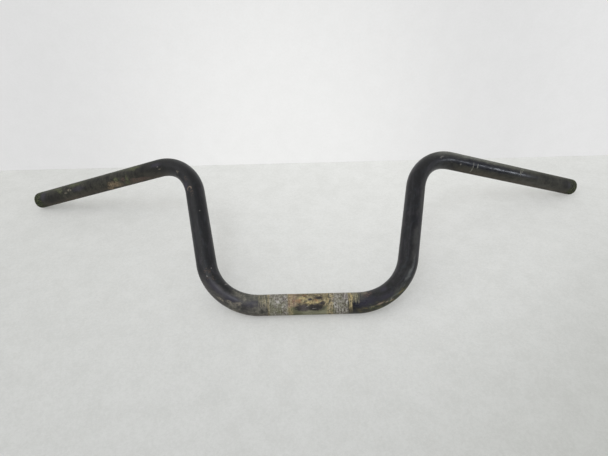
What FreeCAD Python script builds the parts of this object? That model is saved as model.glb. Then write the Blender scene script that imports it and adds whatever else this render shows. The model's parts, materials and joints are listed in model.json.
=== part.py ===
"""Motorcycle handlebar: one bent steel tube with a push-in plug in each end.

The bar lies on its back on level ground, +Z up. It rests on its clamp section and on the rims of its two
end plugs, so it leans back by an angle that follows from its own sizes. The origin is on the tube's axis at
the middle of the clamp section. +X points along the clamp section to the right and +Y towards the risers.

Each half of the tube is a chain of runs from the middle outwards, the way a tube bender makes it: half the
clamp section, the lower bend, the riser, a roll of the tube about its own axis, the upper bend and the grip.
All four bends come from one die. Lengths are in millimetres and angles in degrees.
"""

import FreeCAD, Part
import math
import os

SIZES = {
    "tube_od": 22.2,            # a 7/8 inch bar
    "tube_wall": 2.3,
    "clamp_straight": 102,      # between the two lower bends
    "bend_radius": 61,          # of the bending die, to the tube's axis
    "lower_bend": 78,
    "riser_straight": 93,
    "bend_roll": 25.6,          # of the upper bend's plane out of the bar's plane
    "upper_bend": 76.2,
    "grip_straight": 217.5,     # from the upper bend to the tube's cut end
    "seat_spacing": 62,         # between the middles of the two knurled clamp seats
    "seat_width": 20,
    "seat_rise": 0.06,          # how far the knurl's crests stand above the tube
    "rim_gap": 0.1,             # how far the plug's rim stays inside the tube's outer radius
    "rim_width": 1.5,
    "dome_height": 2,
    "spigot_length": 18,
    "spigot_gap": 0.8,          # between the spigot's core and the bore
    "spigot_wall": 2.2,
    "rib_gap": 0.02,            # between the crests of the spigot's ribs and the bore
    "rib_width": 1.6,
    "rib_pitch": 5,
}
RIB_COUNT = 3
LEFT, RIGHT = -1, 1
SIDES = {LEFT: "left", RIGHT: "right"}
VOLUME_TOLERANCE = 1e-4         # as a share of the volume

# Sizes that follow from the driving dimensions, as expressions.
OUTER_RADIUS = "(Sizes.tube_od / 2)"
BORE_RADIUS = "(Sizes.tube_od / 2 - Sizes.tube_wall)"
SEAT_RADIUS = "(Sizes.tube_od / 2 + Sizes.seat_rise)"
RIM_RADIUS = "(Sizes.tube_od / 2 - Sizes.rim_gap)"
SPIGOT_RADIUS = f"({BORE_RADIUS} - Sizes.spigot_gap)"
DOME_RADIUS = f"(({RIM_RADIUS}^2 + Sizes.dome_height^2) / (2 * Sizes.dome_height))"


def move(x=0, y=0, z=0):
    """Expression for a step without a turn."""
    return f"placement(vector({x}; {y}; {z}); rotation(0; 0; 0))"


def turn(axis, angle):
    """Expression for a turn about the local X, Y or Z."""
    unit = {"X": "1; 0; 0", "Y": "0; 1; 0", "Z": "0; 0; 1"}[axis]
    return f"placement(vector(0; 0; 0); rotation(vector({unit}); {angle}))"


def past_bend(angle):
    """Expression for the step round a bend, with a run's local Z ahead and its X towards the inside."""
    inwards = f"Sizes.bend_radius * (1 - cos({angle}))"
    ahead = f"Sizes.bend_radius * sin({angle})"
    return f"{move(x=inwards, z=ahead)} * {turn('Y', angle)}"


def lean():
    """Expression for the angle between the bar's plane and the ground.

    In the bar's plane, before the bar is laid down, X runs along the clamp section and Y up the bar. The
    grips drop out of that plane. The angle brings the plugs' rims level with the knurled seats.
    """
    run = "(Sizes.grip_straight + Sizes.rim_width)"
    aside = f"(Sizes.bend_radius * (1 - cos(Sizes.upper_bend)) + {run} * sin(Sizes.upper_bend))"
    ahead = f"(Sizes.bend_radius * sin(Sizes.upper_bend) + {run} * cos(Sizes.upper_bend))"
    riser_top = (
        "(Sizes.bend_radius * (1 - cos(Sizes.lower_bend)) + Sizes.riser_straight * sin(Sizes.lower_bend))"
    )

    def up_the_bar(forwards, sideways):
        rolled = f"{sideways} * cos(Sizes.bend_roll) * cos(Sizes.lower_bend)"
        return f"({forwards} * sin(Sizes.lower_bend) - {rolled})"

    rim_up = f"({riser_top} + {up_the_bar(ahead, aside)})"
    rim_drop = f"({aside} * sin(Sizes.bend_roll))"
    first = f"atan({rim_drop} / {rim_up})"

    grip_up = up_the_bar("cos(Sizes.upper_bend)", "sin(Sizes.upper_bend)")
    grip_drop = "(sin(Sizes.upper_bend) * sin(Sizes.bend_roll))"
    slope = f"({grip_up} * sin({first}) - {grip_drop} * cos({first}))"
    rim_below = f"({RIM_RADIUS} * sqrt(1 - {slope}^2))"
    reach = f"sqrt({rim_up}^2 + {rim_drop}^2)"
    return f"({first} - asin(({SEAT_RADIUS} - {rim_below}) / {reach}))"


def clamp_end(side):
    """Expression for the frame at one end of the clamp section, heading outwards."""
    outwards = f"{turn('Z', 90)} * {turn('X', side * 90)}"
    return f"{turn('X', lean())} * {move(x=f'{side} * Sizes.clamp_straight / 2')} * {outwards}"


def make_sizes(doc):
    sheet = doc.addObject("Spreadsheet::Sheet", "Sizes")
    for row, (alias, value) in enumerate(SIZES.items(), start=1):
        sheet.set(f"A{row}", alias.replace("_", " "))
        sheet.set(f"B{row}", str(value))
        sheet.setAlias(f"B{row}", alias)
    doc.recompute()


def make(doc, kind, name, place, **sizes):
    """A primitive whose place and sizes are bound to expressions."""
    thing = doc.addObject(f"Part::{kind}", name)
    for size, value in sizes.items():
        thing.setExpression(size, value)
    thing.setExpression("Placement", place)
    return thing


def straight(doc, name, start, radius, length):
    return make(doc, "Cylinder", name, start, Radius=radius, Height=length)


def bend(doc, name, start, radius, angle):
    """Part of a ring about an axis that stands one bend radius from the tube's axis."""
    ring = "placement(vector(Sizes.bend_radius; 0; 0); rotation(vector(0; 1; 1); 180))"
    return make(
        doc, "Torus", name, f"{start} * {ring}", Radius1="Sizes.bend_radius", Radius2=radius, Angle3=angle
    )


def join(doc, name, pieces):
    whole = doc.addObject("Part::MultiFuse", name)
    whole.Shapes = pieces
    return whole


def cut(doc, name, base, tool):
    left = doc.addObject("Part::Cut", name)
    left.Base = base
    left.Tool = tool
    return left


def run_starts(side):
    """Expressions for the frames where the runs of one half begin, and where its last run ends."""
    lower = clamp_end(side)
    riser = f"{lower} * {past_bend('Sizes.lower_bend')}"
    upper = f"{riser} * {move(z='Sizes.riser_straight')} * {turn('Z', f'180 + {side} * Sizes.bend_roll')}"
    grip = f"{upper} * {past_bend('Sizes.upper_bend')}"
    end = f"{grip} * {move(z='Sizes.grip_straight')}"
    return {"lower_bend": lower, "riser": riser, "upper_bend": upper, "grip": grip, "end": end}


def hollow(doc, name, shape, start, radius, size):
    """One run of the tube: a round bar of a given radius, less the bore."""
    solid = shape(doc, f"{name}_solid", start, radius, size)
    bore = shape(doc, f"{name}_bore", start, BORE_RADIUS, size)
    return cut(doc, name, solid, bore)


def make_tube(doc):
    """The bent tube, with the two knurled clamp seats rolled up out of its skin."""
    middle = f"{clamp_end(RIGHT)} * {move(z='-Sizes.clamp_straight')}"
    seat_inwards = "(Sizes.clamp_straight - Sizes.seat_spacing + Sizes.seat_width) / 2"
    runs = [hollow(doc, "clamp_run", straight, middle, OUTER_RADIUS, "Sizes.clamp_straight")]
    for side, word in SIDES.items():
        start = run_starts(side)
        seat = f"{clamp_end(side)} * {move(z=f'-{seat_inwards}')}"
        runs += [
            hollow(doc, f"{word}_seat", straight, seat, SEAT_RADIUS, "Sizes.seat_width"),
            hollow(doc, f"{word}_lower_bend", bend, start["lower_bend"], OUTER_RADIUS, "Sizes.lower_bend"),
            hollow(doc, f"{word}_riser", straight, start["riser"], OUTER_RADIUS, "Sizes.riser_straight"),
            hollow(doc, f"{word}_upper_bend", bend, start["upper_bend"], OUTER_RADIUS, "Sizes.upper_bend"),
            hollow(doc, f"{word}_grip", straight, start["grip"], OUTER_RADIUS, "Sizes.grip_straight"),
        ]
    return join(doc, "bar_tube", runs)


def make_plug(doc, side):
    """A moulded plug: a low dome and a rim on the tube's cut end, and a ribbed, cored spigot in the bore."""
    word = SIDES[side]
    end = run_starts(side)["end"]

    def disc(name, radius, low, height):
        return straight(doc, f"{word}_{name}", f"{end} * {move(z=low)}", radius, height)

    rim = disc("rim", RIM_RADIUS, "0", "Sizes.rim_width")
    dome = make(
        doc,
        "Sphere",
        f"{word}_dome",
        f"{end} * {move(z=f'Sizes.rim_width + Sizes.dome_height - {DOME_RADIUS}')}",
        Radius=DOME_RADIUS,
        Angle1=f"asin(1 - Sizes.dome_height / {DOME_RADIUS})",
    )
    spigot = disc("spigot", SPIGOT_RADIUS, "-Sizes.spigot_length", "Sizes.spigot_length")
    crest = f"{BORE_RADIUS} - Sizes.rib_gap"
    ribs = [
        disc(f"rib_{index}", crest, f"-{index} * Sizes.rib_pitch", "Sizes.rib_width")
        for index in range(1, RIB_COUNT + 1)
    ]
    core = disc(
        "core",
        f"{SPIGOT_RADIUS} - Sizes.spigot_wall",
        "-Sizes.spigot_length",
        "Sizes.spigot_length - Sizes.spigot_wall",
    )
    solid = join(doc, f"{word}_plug_solid", [rim, dome, spigot, *ribs])
    return cut(doc, f"end_plug_{word}", solid, core)


def check(doc, parts):
    """Stops unless all objects are up to date, each part is one sound solid and the tube's volume is right."""
    for thing in doc.Objects:
        if {"Invalid", "Error"} & set(thing.State):
            raise RuntimeError(f"{thing.Label} failed: {thing.State}")
    for part in parts:
        shape = part.Shape
        if shape.isNull() or not shape.isValid() or len(shape.Solids) != 1:
            raise RuntimeError(f"{part.Label} is not one valid solid")

    outer = SIZES["tube_od"] / 2
    bore = outer - SIZES["tube_wall"]
    seat = outer + SIZES["seat_rise"]
    bends = 2 * SIZES["bend_radius"] * math.radians(SIZES["lower_bend"] + SIZES["upper_bend"])
    length = SIZES["clamp_straight"] + bends + 2 * (SIZES["riser_straight"] + SIZES["grip_straight"])
    volume = math.pi * ((outer**2 - bore**2) * length + (seat**2 - outer**2) * 2 * SIZES["seat_width"])
    if abs(parts[0].Shape.Volume / volume - 1) > VOLUME_TOLERANCE:
        raise RuntimeError(f"the tube holds {parts[0].Shape.Volume:.0f} mm3 and should hold {volume:.0f}")
    print(f"centreline {length:.1f} mm, tube volume {volume:.0f} mm3")


def main():
    doc = FreeCAD.newDocument("handlebar")
    make_sizes(doc)
    parts = [make_tube(doc)] + [make_plug(doc, side) for side in SIDES]
    doc.recompute()
    check(doc, parts)
    os.makedirs("parts", exist_ok=True)
    for part in parts:
        part.Shape.exportStep(f"parts/{part.Label}.step")


main()
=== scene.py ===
"""Looks of a used motorcycle handlebar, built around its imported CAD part.

Metres, in the part's frame: the origin is on the tube's axis at the middle of the clamp section, +X points
along it to the right, +Y towards the risers and +Z up. The bar lies on its back on a pale floor.
"""

import json
import math

import bpy
import numpy as np
from mathutils import Matrix, Vector, noise


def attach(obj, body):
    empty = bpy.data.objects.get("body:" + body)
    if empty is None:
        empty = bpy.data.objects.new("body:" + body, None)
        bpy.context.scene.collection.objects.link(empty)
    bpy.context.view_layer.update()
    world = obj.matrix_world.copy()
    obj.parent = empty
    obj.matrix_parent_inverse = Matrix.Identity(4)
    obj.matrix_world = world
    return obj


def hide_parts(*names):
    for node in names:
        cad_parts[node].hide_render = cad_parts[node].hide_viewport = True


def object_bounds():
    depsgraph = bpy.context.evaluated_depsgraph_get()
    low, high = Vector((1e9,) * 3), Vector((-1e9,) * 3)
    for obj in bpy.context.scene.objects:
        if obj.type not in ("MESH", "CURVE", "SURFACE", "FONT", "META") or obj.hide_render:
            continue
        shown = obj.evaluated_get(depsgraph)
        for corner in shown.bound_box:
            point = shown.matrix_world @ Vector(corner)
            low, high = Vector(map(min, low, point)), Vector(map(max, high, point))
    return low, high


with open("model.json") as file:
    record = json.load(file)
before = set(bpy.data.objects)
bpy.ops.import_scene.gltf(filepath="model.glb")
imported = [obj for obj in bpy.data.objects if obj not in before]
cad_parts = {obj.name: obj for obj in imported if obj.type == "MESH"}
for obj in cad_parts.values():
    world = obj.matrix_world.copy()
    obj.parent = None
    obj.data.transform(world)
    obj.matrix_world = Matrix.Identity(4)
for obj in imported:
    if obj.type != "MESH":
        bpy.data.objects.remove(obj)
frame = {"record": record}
cad_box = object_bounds()

MM = 0.001

# The tube
BEND_RADIUS = 61 * MM
WALL = 2.3 * MM                 # thickness of the tube
SEAT_MIDDLE = 31 * MM           # from the bar's middle to the middle of each knurled clamp seat
SEAT_WIDTH = 20 * MM
KNURL_CREST = 0.06 * MM         # above the tube's radius
KNURL_DEPTH = 0.2 * MM
KNURL_AROUND = 48               # diamonds round the tube
KNURL_ALONG = 14                # diamonds across a seat
KNURL_SAMPLES = 6               # mesh steps to a diamond
KNURL_WEAR = 1.5                # how many times higher its crests were before they wore flat
BEND_FLATTENING = 0.055         # of the tube's radius, in the plane of a bend
BEND_BULGE = 0.02               # of the tube's radius, across that plane
BEND_SHIFT = 0.3                # of the flattening, towards the inside of the bend
BEND_ONSET = 0.45               # of a bend's length, over which it flattens the tube
CORNER_ROUNDS = 60              # until the line's corners settle to well under a micron
END_CHAMFER = 0.4 * MM
RING_COUNT = 72                 # mesh steps round the tube
RING_STEP = 2.0 * MM
BORE_STEP = 6.0 * MM
WAVINESS = 0.03 * MM            # of the skin, from forming and wear
WAVES_PER_METRE = 90

# The end plugs
RIM_INSET = 0.1 * MM
RIM_WIDTH = 1.5 * MM
SEAM_DEPTH = 0.35 * MM          # of the rounding beneath the rim
DOME_HEIGHT = 2.0 * MM
DOME_EDGE = 0.9 * MM            # radius of its rounded edge
BORE_GAP = 0.02 * MM            # between the plug's neck and the bore
SPIGOT_LENGTH = 18 * MM
SPIGOT_GAP = 0.8 * MM
SPIGOT_WALL = 2.2 * MM
RIB_HEIGHT = 0.78 * MM
RIB_WIDTH = 1.6 * MM
RIB_PITCH = 5 * MM
RIB_COUNT = 3
PLUG_SEGMENTS = 96
DOME_STEPS, EDGE_STEPS, SEAM_STEPS = 12, 6, 4
SHARP_ANGLE = 40                # degrees between faces, from which an edge stays sharp


# ---------------------------------------------------------------- the bar's line


def unit(v):
    return v / np.linalg.norm(v)


def mount(name):
    """A mount's place, unit axis, radius and length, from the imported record."""
    found = next(m for m in frame["record"]["mounts"] if m["name"] == name)
    radius, length = found["dims"]["r_mm"] * MM, found["dims"]["length_mm"] * MM
    return np.array(found["pos_m"], float), unit(np.array(found["axis"], float)), radius, length


CLAMP_MIDDLE, CLAMP_AXIS, RADIUS, CLAMP_LENGTH = mount("clamp_section")


class Bend:
    """One bend of the tube's line: an arc that rounds a corner of its polyline."""

    def __init__(self, before, corner, after):
        self.ahead = unit(corner - before)
        leaving = unit(after - corner)
        self.angle = math.acos(float(self.ahead @ leaving))
        self.inward = unit(leaving - self.ahead * (self.ahead @ leaving))
        self.setback = BEND_RADIUS * math.tan(self.angle / 2)
        self.length = BEND_RADIUS * self.angle
        self.start = corner - self.ahead * self.setback

    def at(self, distance):
        """Place, direction and inward direction at a distance along the arc."""
        turned = distance / BEND_RADIUS
        sine, cosine = math.sin(turned), math.cos(turned)
        place = self.start + BEND_RADIUS * (sine * self.ahead + (1 - cosine) * self.inward)
        return place, cosine * self.ahead + sine * self.inward, cosine * self.inward - sine * self.ahead


class Line:
    """The tube's axis from its left end to its right end. Distances along it are 0 at its middle."""

    def __init__(self, points):
        self.bends = [Bend(*points[i - 1 : i + 2]) for i in range(1, len(points) - 1)]
        self.runs = []          # (first distance, last distance, bend or None, start, direction)
        reached, place = 0.0, points[0]
        for bend, corner in zip(self.bends, points[1:-1]):
            straight = float(np.linalg.norm(corner - place)) - bend.setback
            self.runs.append((reached, reached + straight, None, place, bend.ahead))
            reached += straight
            self.runs.append((reached, reached + bend.length, bend, None, None))
            reached += bend.length
            place, direction, _ = bend.at(bend.length)
        self.runs.append((reached, reached + float(np.linalg.norm(points[-1] - place)), None, place, direction))
        self.length = self.runs[-1][1]

    def at(self, along):
        """Place, direction, inward direction and share of the full flattening at a distance."""
        travelled = min(max(along + self.length / 2, 0.0), self.length)
        for first, last, bend, start, direction in self.runs:
            if travelled <= last:
                break
        if bend is None:
            return start + direction * (travelled - first), direction, None, 0.0
        edge = min(travelled - first, last - travelled) / (BEND_ONSET * bend.length)
        share = min(max(edge, 0.0), 1.0)
        return *bend.at(travelled - first), share * share * (3 - 2 * share)


def side_points(grip):
    """The lower corner, the upper corner and the cut end of one half, from its grip's place and axis."""
    middle, outwards, _, length = mount(grip)
    clamp_axis = CLAMP_AXIS * math.copysign(1, outwards @ CLAMP_AXIS)
    clamp_end = CLAMP_MIDDLE + clamp_axis * CLAMP_LENGTH / 2
    grip_start = middle - outwards * length / 2

    def setback(before, after):
        return BEND_RADIUS * math.tan(math.acos(float(before @ after)) / 2)

    lower, upper = clamp_end, grip_start
    for _ in range(CORNER_ROUNDS):
        riser = unit(upper - lower)
        lower = clamp_end + clamp_axis * setback(clamp_axis, riser)
        upper = grip_start - outwards * setback(riser, outwards)
    return lower, upper, middle + outwards * length / 2


def whole_line():
    left, right = side_points("grip_left"), side_points("grip_right")
    return Line([*reversed(left), *right])


line = whole_line()


# ---------------------------------------------------------------- meshes


def section_axes(direction):
    """The directions of 0 and 90 degrees round the tube: upwards, and to the left of the way along."""
    up = unit(np.array([0, 0, 1.0]) - direction * direction[2])
    return up, np.cross(direction, up)


def triangle_wave(turns):
    """0 at whole turns and 1 halfway between them."""
    return 1 - np.abs(2 * (turns % 1) - 1)


def knurl(along, around):
    """Height of a diamond knurl above its valleys, from 0 to 1, with its crests worn flat."""
    rows = (along / SEAT_WIDTH) * KNURL_ALONG
    columns = around / math.tau * KNURL_AROUND
    ridges = np.minimum(triangle_wave(rows + columns), triangle_wave(rows - columns))
    return np.minimum(ridges * KNURL_WEAR, 1.0)


def ring(along, radius, count, height=None):
    """A ring of points round the tube's line, and their coordinates on its unrolled skin."""
    place, direction, inward, share = line.at(along)
    up, aside = section_axes(direction)
    around = np.arange(count) / count * math.tau
    outwards = np.outer(np.cos(around), up) + np.outer(np.sin(around), aside)
    reach = np.full(count, radius)
    if height is not None:
        reach = reach + height(around)
    offset = outwards * reach[:, None]
    if share:
        across = np.cross(direction, inward)
        offset -= BEND_FLATTENING * share * np.outer(offset @ inward, inward)
        offset += BEND_BULGE * share * np.outer(offset @ across, across)
        offset += BEND_SHIFT * BEND_FLATTENING * share * radius * inward
    skin = np.column_stack([np.full(count, along), radius * np.cos(around), radius * np.sin(around)])
    return place + offset, skin / MM


SKIN, BORE = 0, 1               # places of the two materials in the bar's mesh


class Shell:
    """A mesh made of rings, joined one after another into a closed skin."""

    def __init__(self):
        self.points, self.skin, self.crest, self.faces, self.materials = [], [], [], [], []
        self.rings = []

    def add(self, along, radius, count, height=None, material=SKIN, crest=None):
        points, skin = ring(along, radius, count, height)
        first = sum(len(p) for p in self.points)
        self.points.append(points)
        self.skin.append(skin)
        self.crest.append(np.ones(count) if crest is None else crest)
        if self.rings:
            self.join(self.rings[-1], (first, count), material)
        self.rings.append((first, count))

    def join(self, before, after, material):
        (a, m), (b, n) = before, after
        if m == n:
            made = [(a + i, a + (i + 1) % n, b + (i + 1) % n, b + i) for i in range(n)]
        elif n > m:
            made = [face[::-1] for face in self.fan(a, m, b, n)]
        else:
            made = self.fan(b, n, a, m)
        self.faces += made
        self.materials += [material] * len(made)

    @staticmethod
    def fan(coarse, m, fine, n):
        """Triangles from a coarse ring to a finer one that has a whole number of steps to each of its own."""
        step, half = n // m, n // m // 2
        made = []
        for i in range(m):
            here, there = coarse + i, coarse + (i + 1) % m
            tips = [fine + (i * step + k) % n for k in range(step + 1)]
            made += [(here, tips[k], tips[k + 1]) for k in range(half)]
            made.append((here, tips[half], there))
            made += [(there, tips[k], tips[k + 1]) for k in range(half, step)]
        return made

    def close(self, material):
        """Joins the last ring to the first."""
        self.join(self.rings[-1], self.rings[0], material)

    def mesh(self, name):
        points = np.concatenate(self.points)
        mesh = bpy.data.meshes.new(name)
        mesh.from_pydata(points.tolist(), [], self.faces)
        mesh.polygons.foreach_set("material_index", np.array(self.materials, np.int32))
        mesh.polygons.foreach_set("use_smooth", np.ones(len(self.faces), bool))
        attribute = mesh.attributes.new("skin", "FLOAT_VECTOR", "POINT")
        attribute.data.foreach_set("vector", np.concatenate(self.skin).astype(np.float32).ravel())
        attribute = mesh.attributes.new("crest", "FLOAT", "POINT")
        attribute.data.foreach_set("value", np.concatenate(self.crest).astype(np.float32))
        mesh.update()
        return mesh


def spread(first, last, step):
    """Even distances from first up to last, no further apart than step."""
    return np.linspace(first, last, max(2, math.ceil((last - first) / step) + 1))


def waviness_at(along):
    """Height of the plain skin round the tube at a distance along it, with its slow unevenness."""

    def height(around):
        place, direction, _, _ = line.at(along)
        up, aside = section_axes(direction)
        spots = place + RADIUS * (np.outer(np.cos(around), up) + np.outer(np.sin(around), aside))
        waves = [WAVINESS * noise.noise(Vector(spot) * WAVES_PER_METRE) for spot in spots]
        return np.array(waves) - WAVINESS / 2

    return height


def make_bar():
    """The bent tube, with its knurled seats, chamfered ends and bore."""
    shell = Shell()
    end = line.length / 2
    inner, outer = SEAT_MIDDLE - SEAT_WIDTH / 2, SEAT_MIDDLE + SEAT_WIDTH / 2

    def plain(first, last):
        for along in spread(first, last, RING_STEP):
            shell.add(along, RADIUS, RING_COUNT, waviness_at(along))

    def seat(first, last):
        fine = KNURL_AROUND * KNURL_SAMPLES
        around = np.arange(fine) / fine * math.tau
        for along in spread(first, last, SEAT_WIDTH / (KNURL_ALONG * KNURL_SAMPLES)):
            crest = knurl(along - first, around)
            height = KNURL_CREST - KNURL_DEPTH * (1 - crest)
            shell.add(along, RADIUS, fine, lambda _, height=height: height, crest=crest)

    margin = RING_STEP / 2
    shell.add(-end, RADIUS - END_CHAMFER, RING_COUNT)
    plain(-end + END_CHAMFER, -outer - margin)
    seat(-outer, -inner)
    plain(-inner + margin, inner - margin)
    seat(inner, outer)
    plain(outer + margin, end - END_CHAMFER)
    shell.add(end, RADIUS - END_CHAMFER, RING_COUNT)
    for along in reversed(spread(-end, end, BORE_STEP)):
        shell.add(along, RADIUS - WALL, RING_COUNT, material=BORE)
    shell.close(BORE)
    bar = bpy.data.objects.new("bent_tube", shell.mesh("bent_tube"))
    bpy.context.scene.collection.objects.link(bar)
    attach(bar, "root")
    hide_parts("bar_tube")
    return bar


def arc(centre, radius, start, stop, steps):
    """Points of an arc in the (outwards, ahead) plane, with angles from outwards towards ahead."""
    angles = np.radians(np.linspace(start, stop, steps + 1))
    return [(centre[0] + radius * math.cos(a), centre[1] + radius * math.sin(a)) for a in angles]


def plug_profile():
    """Half section of a plug as (radius, distance beyond the tube's cut end), from its tip to its core."""
    rim = RADIUS - RIM_INSET
    bore = RADIUS - WALL
    spigot = bore - SPIGOT_GAP
    top = RIM_WIDTH + DOME_HEIGHT
    dome_radius = (rim**2 + DOME_HEIGHT**2) / (2 * DOME_HEIGHT)
    edge_angle = 90 - math.degrees(math.asin((rim - DOME_EDGE) / (dome_radius - DOME_EDGE)))
    edge_height = top - dome_radius + (dome_radius - DOME_EDGE) * math.sin(math.radians(edge_angle))
    points = arc((0, top - dome_radius), dome_radius, 90, edge_angle, DOME_STEPS)[1:]
    points += arc((rim - DOME_EDGE, edge_height), DOME_EDGE, edge_angle, 0, EDGE_STEPS)[1:]
    points += arc((rim - SEAM_DEPTH, SEAM_DEPTH), SEAM_DEPTH, 0, -90, SEAM_STEPS)
    points.append((bore - BORE_GAP, 0))
    for index in range(1, RIB_COUNT + 1):
        near = -index * RIB_PITCH + RIB_WIDTH
        for distance in (near, near - RIB_WIDTH):
            raised = (spigot + RIB_HEIGHT, distance)
            sunk = (spigot, distance)
            points += [sunk, raised] if distance == near else [raised, sunk]
    points += [(spigot, -SPIGOT_LENGTH), (spigot - SPIGOT_WALL, -SPIGOT_LENGTH)]
    points.append((spigot - SPIGOT_WALL, -SPIGOT_WALL))
    return top, points


def make_plug(side):
    """A moulded plug turned about the end of one grip."""
    middle, outwards, _, length = mount(f"grip_{side}")
    end = middle + outwards * length / 2
    up, aside = section_axes(outwards)
    top, profile = plug_profile()
    around = np.arange(PLUG_SEGMENTS) / PLUG_SEGMENTS * math.tau
    rim_directions = np.outer(np.cos(around), up) + np.outer(np.sin(around), aside)
    points = [end + outwards * top]
    for radius, ahead in profile:
        points += list(end + outwards * ahead + rim_directions * radius)
    points.append(end - outwards * SPIGOT_WALL)
    rows, n = len(profile), PLUG_SEGMENTS
    faces = [(0, 1 + i, 1 + (i + 1) % n) for i in range(n)]
    for row in range(rows - 1):
        a, b = 1 + row * n, 1 + (row + 1) * n
        faces += [(a + i, b + i, b + (i + 1) % n, a + (i + 1) % n) for i in range(n)]
    last, core = 1 + (rows - 1) * n, 1 + rows * n
    faces += [(last + (i + 1) % n, last + i, core) for i in range(n)]
    mesh = bpy.data.meshes.new(f"plug_{side}")
    mesh.from_pydata([list(p) for p in points], [], faces)
    mesh.polygons.foreach_set("use_smooth", np.ones(len(faces), bool))
    mesh.set_sharp_from_angle(angle=math.radians(SHARP_ANGLE))
    mesh.update()
    plug = bpy.data.objects.new(f"plug_{side}", mesh)
    bpy.context.scene.collection.objects.link(plug)
    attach(plug, "root")
    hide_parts(f"end_plug_{side}")
    return plug


# ---------------------------------------------------------------- materials

NOISE_ROUGHNESS = 0.55
SEED_STEP = (17.3, 5.9, 11.1)   # from one seed's part of the noise to the next's
ENAMEL_SPECULAR = 0.25


def tone(red, green, blue):
    """A colour given as 8-bit sRGB, in linear light."""
    parts = [v / 255 for v in (red, green, blue)]
    return tuple(p / 12.92 if p <= 0.04045 else ((p + 0.055) / 1.055) ** 2.4 for p in parts)


class Shading:
    """A material's node tree, with short names for the nodes it uses. Inputs are sockets or plain values."""

    def __init__(self, name):
        self.material = bpy.data.materials.new(name)
        self.material.use_nodes = True
        self.nodes = self.material.node_tree.nodes
        self.links = self.material.node_tree.links
        self.shader = self.nodes["Principled BSDF"]

    def feed(self, socket, value):
        if isinstance(value, bpy.types.NodeSocket):
            self.links.new(value, socket)
        elif socket.type == "RGBA":
            socket.default_value = (*value[:3], 1)
        else:
            socket.default_value = value

    def node(self, kind, values, output=0, **settings):
        """A node with its settings and inputs, given in order or by place or name, and one of its outputs."""
        made = self.nodes.new(kind)
        for name, value in settings.items():
            setattr(made, name, value)
        for key, value in values.items() if isinstance(values, dict) else enumerate(values):
            self.feed(made.inputs[key], value)
        return made.outputs[output]

    def math(self, operation, *values):
        return self.node("ShaderNodeMath", values, operation=operation)

    def product(self, first, *others):
        for other in others:
            first = self.math("MULTIPLY", first, other)
        return first

    def most(self, first, *others):
        for other in others:
            first = self.math("MAXIMUM", first, other)
        return first

    def total(self, first, *others):
        for other in others:
            first = self.math("ADD", first, other)
        return first

    def inverse(self, share):
        return self.math("SUBTRACT", 1.0, share)

    def vector(self, operation, *values):
        wanted = "Value" if operation in ("LENGTH", "DOT_PRODUCT") else 0
        return self.node("ShaderNodeVectorMath", values, wanted, operation=operation)

    def scaled(self, vector, factor):
        return self.node("ShaderNodeVectorMath", {0: vector, "Scale": factor}, operation="SCALE")

    def rise(self, value, low, high):
        """0 at low and 1 at high, with a smooth change between. High may be under low."""
        values = {"Value": value, "From Min": low, "From Max": high}
        return self.node("ShaderNodeMapRange", values, interpolation_type="SMOOTHSTEP")

    # The mix node's sockets share their names, so they are given by place.
    def mix(self, share, low, high):
        return self.node("ShaderNodeMix", {0: share, 2: low, 3: high}, data_type="FLOAT")

    def tint(self, share, low, high):
        return self.node("ShaderNodeMix", {0: share, 6: low, 7: high}, 2, data_type="RGBA")

    def noise(self, place, size, detail=3, stretch=(1, 1, 1), output="Fac", seed=0):
        """Noise about 0.5 whose spots have a size in the units of place, drawn out by stretch."""
        scaled = self.vector("MULTIPLY", place, tuple(1 / (size * s) for s in stretch))
        moved = self.vector("ADD", scaled, tuple(seed * step for step in SEED_STEP))
        values = {"Vector": moved, "Scale": 1.0, "Detail": detail, "Roughness": NOISE_ROUGHNESS}
        return self.node("ShaderNodeTexNoise", values, output)

    def moved(self, place, size, reach, seed=0):
        """Places shifted at random by up to about reach, in spots of a size."""
        shift = self.vector("SUBTRACT", self.noise(place, size, 3, output="Color", seed=seed), (0.5, 0.5, 0.5))
        return self.vector("ADD", place, self.vector("MULTIPLY", shift, (4 * reach,) * 3))

    def finish(self, surface):
        self.feed(self.shader.inputs["Base Color"], surface.colour)
        self.feed(self.shader.inputs["Roughness"], surface.roughness)
        self.feed(self.shader.inputs["Metallic"], surface.metallic)
        values = {"Height": surface.height, "Strength": 1.0, "Distance": MM}
        self.feed(self.shader.inputs["Normal"], self.node("ShaderNodeBump", values))
        return self.material


class Surface:
    """Colour, roughness, metallic and height in mm of a finish that is built up in layers."""

    def __init__(self, shading, colour, roughness, metallic=0.0, height=0.0):
        self.shading = shading
        self.colour, self.roughness, self.metallic, self.height = colour, roughness, metallic, height

    def add(self, share, colour=None, roughness=None, metallic=None, height=None):
        """Lays another finish over this one where share is 1. Its height adds to the height below."""
        s = self.shading
        if colour is not None:
            self.colour = s.tint(share, self.colour, colour)
        if roughness is not None:
            self.roughness = s.mix(share, self.roughness, roughness)
        if metallic is not None:
            self.metallic = s.mix(share, self.metallic, metallic)
        if height is not None:
            self.height = s.total(self.height, s.product(share, height))


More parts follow.
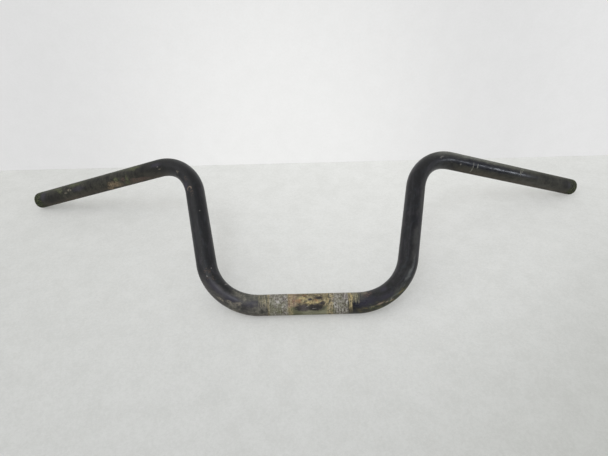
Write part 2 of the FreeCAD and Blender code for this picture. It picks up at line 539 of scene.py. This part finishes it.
# Marks on the skin: mm along the tube from its middle, degrees round it from the top towards the front,
# and half the mark's size in mm along and round the tube.
RUST_PATCHES = [(-382, 96, 5, 4), (-374, 106, 7, 4), (-388, 122, 4, 3)]
OLIVE_STAINS = [(-372, 70, 4, 3), (-354, 84, 2, 5), (-357, 110, 4, 3), (-342, 20, 9, 3), (-447, 22, 12, 3)]
OLIVE_STAINS += [(-480, 26, 7, 3), (-474, 46, 4, 3), (50, 2, 3, 7), (64, 84, 3, 2)]
RED_STAINS = [(64, -6, 4, 3), (-336, 114, 14, 3), (-345, 100, 5, 2), (62, 5, 4, 2.4), (-361, 80, 3, 2)]
PALE_STAINS = [(-464, 66, 2.6, 1), (-458, 52, 2.2, 1), (-454, 55, 1.4, 0.8), (-299, 74, 2.4, 0.7)]
PALE_STAINS += [(-264, 62, 3, 1), (47, -26, 6, 4), (58, -20, 6, 3.5), (-79, 62, 5, 1.4), (-71, 52, 3, 1.4)]
PALE_STAINS += [(-47, 56, 4, 1.2), (-90, 75, 5, 1.2)]
CHIPS = [(-123, -13, 0.8, 0.8), (-116, 31, 0.9, 0.7), (286, 38, 2.6, 0.7), (283, 45, 1.6, 0.6)]
CHIPS += [(317, 78, 1, 1.2), (84, 80, 0.8, 0.8), (-302, 60, 1, 0.5), (-96, -27, 0.7, 2.4)]
CHIPS += [(-196, -10, 0.5, 0.7)]
BROWN_SPECKS = [(-119, 4, 3, 2), (-111, 10, 3, 2.4), (-113, 30, 2, 1.6), (-123, 22, 3, 2), (-222, 20, 6, 2)]
BROWN_SPECKS += [(-244, 40, 4, 2)]
RING_SCAR = (-228, 33, 3.4, 3)
HOOP_SCRATCHES = [(337, 86, 0.7, 7), (418, 51, 0.8, 4), (421, 30, 1, 3), (424, 14, 1.2, 2.4), (344, 68, 0.8, 3)]
# Places that hands and sleeves have rubbed, or that never gathered dust; the sheen patches are painted sheen
# and the dark patches painted shade
GLOSSY_PATCHES = [(356, 58, 78, 4.5), (53, 64, 9, 5), (50, 46, 5, 4)]
# Painted sheen: glossier patches on the lower bends, painted a lighter lilac-blue
PAINTED_SHEEN_PATCHES = [(-57, 42, 9, 4.6), (-80, 40, 12, 3.6), (-100, 38, 11, 3.2), (60, 46, 10, 6), (81, 54, 9, 3)]
LILAC_PATCHES = [(-510, 44, 6, 6), (515, 62, 5, 5), (-440, 62, 9, 3), (82, 4, 4, 3), (-305, 44, 7, 2.5)]
LILAC_PATCHES += [(-236, 62, 6, 3)]
CLEAN_PATCHES = [(-170, 5, 80, 12), (180, 5, 80, 12), (-92, 45, 22, 6)]
HANDLED_PATCHES = [(-430, 44, 96, 7), (-300, 34, 40, 9), (484, 50, 50, 7), (310, 40, 60, 7)]
DULL_PATCHES = [(448, 112, 60, 5), (208, 58, 22, 4.5), (150, 32, 40, 3), (88, 56, 20, 3), (312, 32, 26, 3)]
# Painted shade: darker patches, mostly on the risers and bends
PAINTED_SHADE_PATCHES = [(-86, 2, 16, 5), (-262, 18, 50, 9), (-212, 12, 30, 8), (-315, 45, 30, 6), (250, 5, 26, 6)]
PAINTED_SHADE_PATCHES += [(505, 60, 7, 10), (-494, 84, 16, 8)]
WORN_PATCHES = [(-49, 86, 10, 9)]
# On the right lower bend
TAN_STREAKS = [(72, 75, 4, 1), (64, 79, 2.4, 0.7), (79, 82, 1.6, 0.7), (84, 88, 2, 0.8)]
# Painted highlight: a pale streak along the outer side of the right lower bend
PAINTED_HIGHLIGHT_STREAK = [(128, 38, 7, 1), (118, 42, 7, 1.3), (108, 49, 6, 1.5), (99, 58, 6, 1.5), (90, 70, 6, 1.4)]
PAINTED_HIGHLIGHT_STREAK += [(83, 77, 5, 1.2)]
SLANT = 0.35                    # of the streaks beneath it, in radians
# On the clamp seats and between them
DARK_FLAKES = [(-6, 67, 8.4, 3.8), (7, 65, 9.4, 3.8), (11, 11, 3.4, 1.8), (2, 20, 2.6, 1.1), (14.5, 42, 3, 2)]
DARK_FLAKES += [(-10, 46, 2, 0.8)]
ORANGE_SPOTS = [(-10, 27, 3, 1.6), (-15, 32, 2, 1.2), (8, 26, 2, 1), (-4, -8, 3, 1.4)]
YELLOW_SPOTS = [(9, 33, 5, 1.4), (2, 40, 5, 1.2), (-6, 12, 4, 1.6), (23, 22, 3, 4), (45, 12, 1.6, 4)]
OLIVE_SEATS = [(-38, 70, 3, 12), (-30, 80, 4, 8), (25, 90, 3, 5)]
PALE_SPOTS = [(-35, -4, 1.8, 1.4), (-31, 22, 4, 3), (-24, -4, 2.4, 2.4), (-33, 36, 2, 1), (38, 15, 0.8, 3)]
PALE_SPOTS += [(28, 50, 1, 3), (39.5, 40, 1, 2.4), (5.6, 70, 1.7, 0.7), (-2, 60, 1.6, 0.5), (-27, 60, 1, 2)]

# Distances from the bar's middle, in mm along the tube
SEAT_INNER = (SEAT_MIDDLE - SEAT_WIDTH / 2) / MM
SEAT_OUTER = (SEAT_MIDDLE + SEAT_WIDTH / 2) / MM
END_DIRT = 514


class Skin(Shading):
    """Shading of the tube, with places on its unrolled skin in mm and the textures that its layers share."""

    def __init__(self, name):
        super().__init__(name)
        self.skin = self.node("ShaderNodeAttribute", {}, "Vector", attribute_name="skin")
        self.crest = self.node("ShaderNodeAttribute", {}, "Fac", attribute_name="crest")
        self.along = self.node("ShaderNodeSeparateXYZ", (self.skin,), "X")
        self.reach = self.math("ABSOLUTE", self.along)
        normal = self.node("ShaderNodeNewGeometry", {}, "Normal")
        self.upwards = self.node("ShaderNodeSeparateXYZ", (normal,), "Z")
        self.ragged = self.moved(self.skin, 3.5, 1.2, seed=1)
        self.frayed = self.moved(self.skin, 1.2, 0.4, seed=2)

        self.grain = self.noise(self.skin, 0.7, 2)
        self.speckle = self.noise(self.skin, 1.6, 4, seed=3)
        self.blotch = self.noise(self.skin, 3.2, 3, seed=9)
        self.mottle = self.noise(self.skin, 9, 4, stretch=(1.6, 1, 1), seed=4)
        self.cloud = self.noise(self.skin, 32, 3, stretch=(2, 1, 1), seed=5)
        self.hoops = self.noise(self.skin, 0.9, 3, stretch=(1, 9, 9), seed=6)
        self.streaks = self.noise(self.skin, 3, 4, stretch=(7, 1, 1), seed=7)
        self.broken = self.rise(self.noise(self.skin, 2.4, 3, stretch=(3, 1, 1), seed=14), 0.4, 0.6)
        self.spotty = self.rise(self.speckle, 0.32, 0.62)
        self.glossy = self.marks(GLOSSY_PATCHES, self.ragged, 0.9)
        # Patches of painted sheen
        self.painted_sheen = self.marks(PAINTED_SHEEN_PATCHES, self.ragged, 1.5)

    def distance(self, mark, place):
        """Distance from a mark's middle, as a share of its reach."""
        along, around, half_length, half_width = mark
        angle, radius = math.radians(around), RADIUS / MM
        middle = (along, radius * math.cos(angle), radius * math.sin(angle))
        away = self.vector("SUBTRACT", place, middle)
        scaled = self.vector("MULTIPLY", away, (1 / half_length, 1 / half_width, 1 / half_width))
        return self.vector("LENGTH", scaled)

    def marks(self, all_marks, place, softness=0.6):
        """1 in the middle of each mark, falling to 0 beyond its edge."""
        nearest = None
        for mark in all_marks:
            away = self.distance(mark, place)
            nearest = away if nearest is None else self.math("MINIMUM", nearest, away)
        return self.rise(nearest, 1 + softness / 2, 1 - softness / 2)

    def band(self, first, last, edge, place=None):
        """1 between two distances along the tube, with soft edges."""
        along = self.along if place is None else self.node("ShaderNodeSeparateXYZ", (place,), "X")
        risen = self.rise(along, first - edge, first + edge)
        return self.product(risen, self.rise(along, last + edge, last - edge))

    def facing(self, around, low, high):
        """0 to 1 as the skin turns to face a direction round the tube; low and high are cosines."""
        angle = math.radians(around)
        direction = (0, math.cos(angle), math.sin(angle))
        cosine = self.vector("DOT_PRODUCT", self.ragged, direction)
        return self.rise(self.math("DIVIDE", cosine, RADIUS / MM), low, high)


def black_enamel(s):
    """Black enamel, streaked along the bar, with brown bruises and blue-black patches of painted sheen."""
    sheen_and_bruises = s.noise(s.skin, 7, 3, stretch=(1.4, 1, 1), seed=15)
    black = s.tint(s.mottle, tone(10, 10, 13), tone(26, 26, 30))
    black = s.tint(s.rise(s.streaks, 0.5, 0.75), black, tone(42, 41, 46))
    # Painted sheen: blue-black patches that stand for a bluish sheen on the clean paint.
    black = s.tint(s.product(s.rise(sheen_and_bruises, 0.52, 0.7), 0.7), black, tone(34, 38, 43))
    black = s.tint(s.product(s.rise(sheen_and_bruises, 0.48, 0.3), 0.6), black, tone(46, 42, 48))
    return Surface(s, black, s.mix(s.mottle, 0.24, 0.46), height=s.product(s.grain, 0.02))


def add_dust(s, paint):
    """Dust and grime: on top of the grips and lower bends, brown underneath, gone where the bar was handled.
    The pale top edge of the right grip is partly dust and partly a painted reflection.
    """
    rubbed_and_painted_highlight = s.most(s.glossy, s.product(s.marks(CLEAN_PATCHES, s.ragged, 1.2), 0.6))
    rubbed_and_painted_highlight = s.most(rubbed_and_painted_highlight, s.product(s.marks(HANDLED_PATCHES, s.ragged, 1.0), 0.8))
    kept = s.inverse(rubbed_and_painted_highlight)
    middle = s.product(s.rise(s.along, -96, -60), s.rise(s.along, 60, 30))
    dusty = s.most(s.rise(s.reach, 240, 350), middle, 0.14)
    uneven = s.total(s.cloud, s.product(s.total(s.mottle, s.speckle), 0.5))

    residue = s.product(s.rise(s.reach, 258, 340), s.inverse(s.glossy))
    wiped = s.total(s.noise(s.skin, 3.4, 4, stretch=(1, 2.4, 2.4), seed=17), s.mottle)
    residue_tone = s.tint(s.rise(wiped, 0.75, 1.25), tone(22, 22, 17), tone(60, 58, 49))
    paint.add(s.product(residue, 0.8), residue_tone, 0.7)
    film = s.product(s.rise(uneven, 0.6, 1.35), dusty, kept)
    paint.add(s.product(film, 0.42), s.tint(s.blotch, tone(64, 64, 52), tone(84, 80, 72)), 0.75)
    settled = s.product(s.rise(s.upwards, 0.74, 0.97), s.rise(uneven, 0.5, 1.2), dusty, kept)
    paint.add(s.product(settled, 0.7), s.tint(s.blotch, tone(82, 86, 70), tone(106, 105, 97)), 0.85)
    # Pale top edge of the right grip: partly dust, partly a painted reflection of the bright backdrop.
    top_edge_dust_and_reflection = s.product(s.rise(s.along, 262, 312), s.rise(s.along, 470, 320), s.facing(-10, 0.66, 0.97))
    paint.add(s.product(top_edge_dust_and_reflection, s.rise(uneven, 0.4, 1.0), 0.7), tone(132, 132, 124), 0.85)
    grime = s.product(s.rise(s.upwards, 0.0, -0.6), s.rise(uneven, 0.6, 1.3), dusty)
    paint.add(s.product(grime, 0.65), tone(90, 80, 69), 0.85)
    specks = s.product(s.rise(s.noise(s.skin, 0.9, 2, seed=11), 0.64, 0.74), s.most(dusty, 0.4))
    paint.add(s.product(specks, 0.5), tone(118, 112, 100), 0.85)


def add_rubbed_places(s, paint):
    """Places rubbed glossy and tinted blue-black as a painted reflection, darker patches of painted shade, and
    duller ones.
    """
    # Painted reflection: the rubbed glossy paint is tinted blue-black.
    glossy_reflection_tone = s.tint(s.mottle, tone(12, 13, 19), tone(28, 30, 39))
    paint.add(s.product(s.glossy, 0.85), glossy_reflection_tone, s.mix(s.broken, 0.08, 0.38))
    # Painted shade: the dark patches make the paint darker.
    paint.add(s.product(s.marks(PAINTED_SHADE_PATCHES, s.ragged, 1.5), 0.6), tone(12, 12, 14))
    dull = s.product(s.marks(DULL_PATCHES, s.ragged, 1.5), s.rise(s.mottle, 0.3, 0.6))
    paint.add(s.product(dull, 0.5), tone(74, 73, 69), 0.6)


def add_lower_bends(s, paint):
    """Scuffs on the left lower bend, streaks on and beneath the right one, one of them a painted highlight, and
    a painted sheen on both.
    """
    scuffed = s.product(s.band(-116, -80, 10, s.ragged), s.facing(70, 0.3, 0.8))
    scuffed = s.most(scuffed, s.band(-82, -52, 8, s.ragged))
    scuffed = s.product(scuffed, s.rise(s.total(s.mottle, s.cloud), 0.6, 1.3), s.inverse(s.glossy), 0.5)
    paint.add(scuffed, s.tint(s.mottle, tone(84, 82, 84), tone(104, 100, 92)), 0.7)

    turned = s.node("ShaderNodeVectorRotate", {"Vector": s.skin, "Angle": SLANT})
    slanting = s.noise(turned, 2.6, 3, stretch=(4, 1, 1), seed=16)
    beneath = s.product(s.band(54, 104, 9, s.ragged), s.facing(108, 0.55, 0.9))
    paint.add(s.product(beneath, 0.6), tone(62, 62, 48), 0.7)
    brown = s.tint(s.rise(s.mottle, 0.42, 0.6), tone(108, 96, 68), tone(96, 106, 66))
    paint.add(s.product(beneath, s.rise(slanting, 0.48, 0.66), 0.85), brown, 0.75)

    # Painted highlight: a pale grey streak along the outer side of the right lower bend.
    rubbed_and_painted_highlight = s.product(s.marks(PAINTED_HIGHLIGHT_STREAK, s.ragged, 1.3), s.rise(s.streaks, 0.3, 0.6))
    paint.add(s.product(rubbed_and_painted_highlight, 0.6), tone(99, 101, 98), 0.45)
    tan = s.product(s.marks(TAN_STREAKS, s.frayed, 1.0), s.rise(s.grain, 0.3, 0.55))
    paint.add(s.product(tan, 0.7), tone(168, 148, 128), 0.7)

    # Painted sheen: a lighter lilac-blue colour, with lower roughness, on the sheen patches.
    painted_sheen_tone = s.tint(s.mottle, tone(36, 36, 44), tone(56, 53, 63))
    paint.add(s.product(s.painted_sheen, 0.8), painted_sheen_tone, s.mix(s.broken, 0.25, 0.4))
    paint.add(s.product(s.marks(LILAC_PATCHES, s.ragged, 1.5), 0.55), tone(60, 56, 68), 0.6)


def add_stains(s, paint):
    """Olive, red and pale stains, rust patches and brown specks."""
    for places, softness, share, colour in (
        (OLIVE_STAINS, 1.1, 0.6, tone(100, 104, 72)),
        (RED_STAINS, 1.1, 0.55, tone(112, 90, 80)),
        (PALE_STAINS, 1.0, 0.65, tone(142, 134, 118)),
    ):
        paint.add(s.product(s.marks(places, s.ragged, softness), s.spotty, share), colour, 0.8)
    rust_tone = s.tint(s.spotty, tone(97, 84, 67), tone(153, 133, 105))
    rusty = s.product(s.marks(RUST_PATCHES, s.ragged, 1.4), s.rise(s.speckle, 0.25, 0.6))
    paint.add(s.product(rusty, 0.7), rust_tone, 0.9, height=s.product(s.speckle, 0.12))
    specks = s.product(s.marks(BROWN_SPECKS, s.ragged), s.rise(s.speckle, 0.48, 0.62))
    paint.add(s.product(specks, 0.7), tone(84, 72, 62), 0.9)


def add_mossy_ends(s, paint):
    """A dark dirty band at each end of the tube, with green clumps and pale flecks."""
    moss = s.rise(s.total(s.reach, s.product(s.speckle, 6)), END_DIRT, END_DIRT + 6)
    paint.add(s.product(moss, 0.8), tone(21, 23, 19), 0.8)
    clumps = s.rise(s.noise(s.skin, 1.5, 3, seed=18), 0.51, 0.6)
    paint.add(s.product(moss, clumps, 0.72), tone(84, 92, 54), 0.9)
    flecks = s.rise(s.noise(s.skin, 1.0, 2, seed=20), 0.6, 0.67)
    paint.add(s.product(moss, flecks, 0.45), tone(146, 150, 116), 0.9)


def add_scars(s, paint):
    """A ring scar, open towards the bar's middle, scratches round the tube, and chips down to the metal."""
    scar = s.distance(RING_SCAR, s.frayed)
    rim = s.product(s.rise(scar, 0.5, 0.8), s.rise(scar, 1.2, 0.9))
    rim = s.product(rim, s.rise(s.along, -225.5, -229), s.rise(s.speckle, 0.3, 0.5), 0.8)
    paint.add(rim, tone(132, 116, 102), 0.7, height=0.06)
    hoop = s.product(s.marks(HOOP_SCRATCHES, s.frayed, 0.9), s.rise(s.speckle, 0.36, 0.56))
    paint.add(s.product(hoop, 0.7), tone(156, 154, 143), 0.6, height=-0.03)
    paint.add(s.product(s.marks(CHIPS, s.frayed, 1.0), 0.45), tone(146, 142, 136), 0.5, height=-0.08)


def add_clamp_ends(s, paint):
    """Paint worn thin outside the seats, with streaks round the tube next to them."""
    worn_left = s.band(-82, -40, 9, s.ragged)
    worn_right = s.product(s.band(40, 60, 7, s.ragged), s.facing(-20, 0.1, 0.8))
    thin = s.rise(s.total(s.mottle, s.product(s.total(s.hoops, s.blotch), 0.5)), 0.8, 1.25)
    worn = s.product(s.most(worn_left, worn_right), thin, s.inverse(s.most(s.glossy, s.painted_sheen)))
    patches = s.product(s.marks(WORN_PATCHES, s.ragged, 1.5), s.rise(s.blotch, 0.2, 0.55), 0.7)
    worn_tone = s.tint(s.rise(s.blotch, 0.35, 0.65), tone(84, 82, 73), tone(126, 122, 110))
    paint.add(s.product(s.most(worn, patches), 0.85), worn_tone, 0.7)

    fringe = s.product(s.band(SEAT_OUTER, 53, 2, s.ragged), s.facing(-10, 0.4, 0.8))
    fringe = s.most(s.band(-52, -SEAT_OUTER, 2, s.ragged), fringe)
    fringe = s.product(fringe, s.facing(0, 0.45, 0.85), s.rise(s.hoops, 0.4, 0.64))
    paint.add(s.product(fringe, 0.8), s.tint(s.spotty, tone(116, 111, 86), tone(160, 151, 126)), 0.8)


def add_middle(s, paint):
    """Olive dirt, rust and flakes of old paint between the seats."""
    between = s.band(-SEAT_INNER, SEAT_INNER, 1.0, s.frayed)
    dirt = s.tint(s.rise(s.mottle, 0.35, 0.65), tone(104, 104, 80), tone(144, 142, 118))
    paint.add(s.product(between, 0.9), dirt, 0.85)
    rust = s.tint(s.rise(s.blotch, 0.35, 0.65), tone(86, 78, 64), tone(140, 129, 100))
    rust = s.tint(s.rise(s.speckle, 0.52, 0.72), rust, tone(180, 166, 132))
    red = s.tint(s.spotty, tone(112, 90, 80), tone(158, 136, 124))
    rust = s.tint(s.product(s.rise(s.along, -8, -18), 0.7), rust, red)
    bare = s.rise(s.total(s.product(s.blotch, 0.5), s.facing(0, 0.3, 0.8)), 0.3, 0.75)
    paint.add(s.product(between, bare), rust, 0.85, height=s.product(s.speckle, 0.1))
    paint.add(s.product(s.marks(YELLOW_SPOTS, s.ragged, 1.0), s.spotty, 0.85), tone(184, 166, 118), 0.8)
    paint.add(s.product(s.marks(ORANGE_SPOTS, s.ragged, 1.0), s.spotty, 0.8), tone(152, 106, 76), 0.85)
    torn = s.moved(s.skin, 2.5, 0.9, seed=12)
    flakes = s.product(s.marks(DARK_FLAKES, torn, 0.7), s.rise(s.blotch, 0.2, 0.36))
    flake_tone = s.tint(s.rise(s.mottle, 0.4, 0.7), tone(30, 28, 31), tone(78, 71, 72))
    paint.add(s.product(flakes, 0.92), flake_tone, 0.5, height=0.08)


def add_seats(s, paint):
    """Bare steel on the crests of the knurl, dirt in its valleys, olive and lilac blotches, and painted shade
    where the seats face up and a little forward.
    """
    bright = s.rise(s.total(s.hoops, s.product(s.blotch, 0.6)), 0.6, 0.95)
    steel = s.tint(bright, tone(98, 94, 78), tone(200, 196, 184))
    for share, colour in (
        (s.product(s.rise(s.noise(s.skin, 5, 3, seed=13), 0.45, 0.62), 0.5), tone(124, 124, 92)),
        (s.product(s.rise(s.noise(s.skin, 5, 3, seed=19), 0.48, 0.64), 0.5), tone(146, 136, 142)),
        (s.rise(s.speckle, 0.58, 0.68), tone(226, 219, 212)),
        (s.product(s.rise(s.speckle, 0.47, 0.36), 0.7), tone(66, 56, 46)),
        (s.product(s.rise(s.hoops, 0.46, 0.36), 0.55), tone(84, 78, 66)),
        (s.product(s.marks(OLIVE_SEATS, s.ragged, 1.4), 0.4), tone(126, 130, 98)),
        (s.product(s.inverse(s.crest), 0.65), tone(72, 66, 54)),
        # Painted shade: the steel is darker where it faces up and a little forward.
        (s.product(s.facing(25, 0.5, 1.0), 0.2), tone(84, 80, 70)),
    ):
        steel = s.tint(share, steel, colour)
    seats = s.most(s.band(-SEAT_OUTER, -SEAT_INNER, 0.3), s.band(SEAT_INNER, SEAT_OUTER, 0.3))
    paint.add(seats, steel, s.mix(s.crest, 0.8, 0.45), metallic=s.product(s.crest, 0.5))
    spots = s.product(s.marks(PALE_SPOTS, s.ragged, 1.0), s.rise(s.speckle, 0.4, 0.6))
    paint.add(s.product(spots, 0.6), tone(192, 188, 182), 0.7)


def add_rust_rings(s, paint):
    """Tan and ochre rust rings at the seats' edges."""
    upper = s.total(0.2, s.product(s.facing(10, 0.1, 0.7), 0.8))
    rings = s.most(
        s.product(s.band(-42.3, -40, 0.6, s.frayed), 0.5),
        s.product(s.band(-21.5, -16, 1.5, s.ragged), 0.6),
        s.product(s.band(18.5, 26, 1.2, s.ragged), 0.8),
        s.product(s.band(41.6, 45.5, 0.7, s.frayed), upper),
    )
    rings = s.product(rings, s.rise(s.total(s.hoops, s.blotch), 0.8, 1.1), 0.9)
    ochre = s.tint(s.spotty, tone(118, 106, 78), tone(184, 168, 126))
    paint.add(rings, ochre, 0.85, metallic=0.0)


def bar_paint():
    """Worn black enamel over steel, with dust, rust and stains, and bare knurled clamp seats."""
    s = Skin("worn_black_enamel")
    s.shader.inputs["Specular IOR Level"].default_value = ENAMEL_SPECULAR
    paint = black_enamel(s)
    for add_layer in (
        add_dust,
        add_rubbed_places,
        add_lower_bends,
        add_stains,
        add_mossy_ends,
        add_scars,
        add_clamp_ends,
        add_middle,
        add_seats,
        add_rust_rings,
    ):
        add_layer(s, paint)
    return s.finish(paint)


def bore_steel():
    """Plain drawn steel inside the tube, brown with light rust."""
    s = Shading("bore_steel")
    place = s.node("ShaderNodeTexCoord", {}, "Object")
    patches = s.noise(place, 0.006, 4)
    steel = s.tint(patches, tone(84, 66, 52), tone(120, 112, 104))
    height = s.product(s.noise(place, 0.001, 3), 0.03)
    return s.finish(Surface(s, steel, s.mix(patches, 0.8, 0.5), metallic=0.4, height=height))


def plug_rubber():
    """Dull black moulding with green-grey dirt in its grain."""
    s = Shading("plug_moulding")
    place = s.node("ShaderNodeTexCoord", {}, "Object")
    grain = s.noise(place, 0.0007, 3)
    dirt = s.noise(place, 0.0018, 4, seed=2)
    film = s.noise(place, 0.008, 3, seed=3)
    black = s.tint(film, tone(24, 25, 21), tone(38, 40, 31))
    plug = Surface(s, black, s.mix(grain, 0.7, 0.9), height=s.product(grain, 0.06))
    plug.add(s.product(s.rise(dirt, 0.46, 0.62), 0.8), tone(90, 98, 60), 0.9)
    plug.add(s.product(s.rise(grain, 0.58, 0.68), 0.55), tone(138, 142, 104), 0.9)
    return s.finish(plug)


# ---------------------------------------------------------------- stage, light and camera

FLOOR_COLOUR = tone(219, 219, 215)
FLOOR_GLOW = 0.43               # share of the floor's brightness that is steady, whatever shades it
FLOOR_MOTTLE = 0.055
WALL_COLOUR = tone(232, 232, 231)
WALL_GLOW = 0.9
WALL_MOTTLE = 0.02
WALL_DISTANCE = 0.346           # from the bar's middle to the foot of the backdrop
WALL_HEIGHT = 1.2
STAGE_REACH = 5.0
BOARD_PAINT = 0.97              # of a board's colour, where the lamps light it
BOARD_GRAIN = ((0.02, 5), (0.003, 3), (0.0013, 2))  # spots' sizes in metres, and their detail


def plane(name, corners, material):
    mesh = bpy.data.meshes.new(name)
    mesh.from_pydata(corners, [], [(0, 1, 2, 3)])
    mesh.materials.append(material)
    made = bpy.data.objects.new(name, mesh)
    bpy.context.scene.collection.objects.link(made)


def board(name, colour, glow, share, mottle):
    """A painted board. A share of what the camera and gloss see is a steady glow, so its shadows stay faint."""
    s = Shading(name)
    place = s.node("ShaderNodeTexCoord", {}, "Object")
    grain = s.total(*(s.noise(place, *spots, seed=seed) for seed, spots in enumerate(BOARD_GRAIN)))
    dark, light = (1 - mottle, 1 - mottle, 1 - 1.15 * mottle), (1 + mottle,) * 3
    mottled = s.tint(s.rise(grain, 1.0, 2.0), dark, light)
    lit = s.vector("MULTIPLY", mottled, tuple(part * BOARD_PAINT for part in colour))
    s.finish(Surface(s, lit, 0.65))
    glowing = s.node("ShaderNodeEmission", {"Color": s.vector("MULTIPLY", glow(s, place), mottled)})
    seen = s.node("ShaderNodeLightPath", {}, "Is Camera Ray")
    seen = s.most(seen, s.node("ShaderNodeLightPath", {}, "Is Glossy Ray"))
    both = s.node("ShaderNodeMixShader", (s.product(seen, share), s.shader.outputs[0], glowing))
    s.feed(s.nodes["Material Output"].inputs["Surface"], both)
    return s, both


def rightwards(s, place):
    """Share by which the floor grows brighter towards the right, where no lamp reaches."""
    return s.mix(s.rise(s.node("ShaderNodeSeparateXYZ", (place,), "X"), -0.1, 0.45), 1.0, 1.3)


def floor_glow(s, place):
    """Brightest at the back between the risers, fading to the sides and the front right. Places in metres."""
    from_brightest = s.vector("SUBTRACT", place, (0, 0.25, 0))
    away = s.vector("LENGTH", s.vector("MULTIPLY", from_brightest, (1, 0.7, 0)))
    glow = s.tint(s.rise(away, 0.05, 0.42), tone(240, 240, 237), tone(207, 207, 204))
    ahead = s.node("ShaderNodeSeparateXYZ", (place,), "Y")
    fade = {"Value": ahead, "From Min": 0.34, "From Max": -0.2, "To Min": 1.12, "To Max": 0.68}
    level = s.product(s.node("ShaderNodeMapRange", fade), rightwards(s, place))
    front_right = s.vector("DOT_PRODUCT", place, (0.6, -0.8, 0))
    return s.tint(s.rise(front_right, 0.08, 0.36), s.scaled(glow, level), tone(150, 150, 141))


def wall_glow(s, place):
    """Brightest behind the bar's middle, dimmer towards both sides. Places in metres."""
    from_brightest = s.vector("SUBTRACT", place, (-0.03, 0, 0.02))
    away = s.vector("LENGTH", s.vector("MULTIPLY", from_brightest, (1, 0, 0.8)))
    glow = s.tint(s.rise(away, 0.05, 0.4), tone(242, 242, 241), tone(223, 223, 223))
    right = s.rise(s.node("ShaderNodeSeparateXYZ", (place,), "X"), 0.2, 0.45)
    return s.scaled(glow, s.mix(right, 1.0, 1.08))


def make_stage():
    ground, far = cad_box[0].z, STAGE_REACH
    s, _ = board("floor_board", FLOOR_COLOUR, floor_glow, FLOOR_GLOW, FLOOR_MOTTLE)
    corners = [(-far, -far, ground), (far, -far, ground), (far, far, ground), (-far, far, ground)]
    plane("floor", corners, s.material)

    s, shown = board("backdrop_board", WALL_COLOUR, wall_glow, WALL_GLOW, WALL_MOTTLE)
    clear = s.node("ShaderNodeBsdfTransparent", {})
    behind = s.node("ShaderNodeNewGeometry", {}, "Backfacing")
    one_sided = s.node("ShaderNodeMixShader", (behind, shown, clear))
    s.feed(s.nodes["Material Output"].inputs["Surface"], one_sided)
    y, top = WALL_DISTANCE, ground + WALL_HEIGHT
    plane("backdrop", [(-far, y, ground), (far, y, ground), (far, y, top), (-far, y, top)], s.material)


CAMERA_PLACE = (-0.0013, -0.3736, 0.3568)
CAMERA_DOWN = 34.74             # degrees below level
CAMERA_LEFT = 0.18              # degrees from straight ahead
CAMERA_ROLL = -1.54             # degrees anticlockwise, seen from behind it
CAMERA_LENS = 28.68             # mm
SENSOR_WIDTH = 36               # mm
NEAREST_SEEN = 0.01


def make_camera():
    camera = bpy.data.objects.new("camera", bpy.data.cameras.new("camera"))
    bpy.context.scene.collection.objects.link(camera)
    camera.data.lens = CAMERA_LENS
    camera.data.sensor_width = SENSOR_WIDTH
    camera.data.clip_start = NEAREST_SEEN
    turn = (
        Matrix.Rotation(math.radians(CAMERA_LEFT), 4, "Z")
        @ Matrix.Rotation(math.radians(90 - CAMERA_DOWN), 4, "X")
        @ Matrix.Rotation(math.radians(CAMERA_ROLL), 4, "Z")
    )
    camera.matrix_world = Matrix.Translation(CAMERA_PLACE) @ turn
    bpy.context.scene.camera = camera


SKY_COLOUR = (0.97, 0.98, 1, 1)
SKY_STRENGTH = 0.62
# Each lamp's name, place, aim, width, watts and colour
LAMPS = [
    ("ceiling", (-0.45, -0.75, 1.45), (0, 0, 0), 0.8, 8.0, (0.9, 0.94, 1)),
    ("back_left", (-1.1, 0.2, 1.2), (0, 0.1, 0), 1.5, 7.0, (1, 1, 0.98)),
    ("side_window", (1.5, -0.2, 0.34), (0.2, 0.15, 0.03), 0.34, 2.4, (0.86, 0.91, 1)),
]


def make_lamp(name, place, aim, size, watts, colour):
    data = bpy.data.lights.new(name, "AREA")
    data.shape = "DISK"
    data.size = size
    data.energy = watts
    data.color = colour
    lamp = bpy.data.objects.new(name, data)
    bpy.context.scene.collection.objects.link(lamp)
    lamp.location = place
    lamp.rotation_euler = (Vector(aim) - Vector(place)).to_track_quat("-Z", "Y").to_euler()
    lamp.visible_camera = False


def make_light():
    world = bpy.data.worlds.new("studio")
    world.use_nodes = True
    background = world.node_tree.nodes["Background"]
    background.inputs["Color"].default_value = SKY_COLOUR
    background.inputs["Strength"].default_value = SKY_STRENGTH
    bpy.context.scene.world = world
    for lamp in LAMPS:
        make_lamp(*lamp)


bar = make_bar()
for material in (bar_paint(), bore_steel()):
    bar.data.materials.append(material)
rubber = plug_rubber()
for side in ("left", "right"):
    make_plug(side).data.materials.append(rubber)
make_stage()
make_camera()
make_light()

bpy.context.scene.view_settings.view_transform = "Standard"
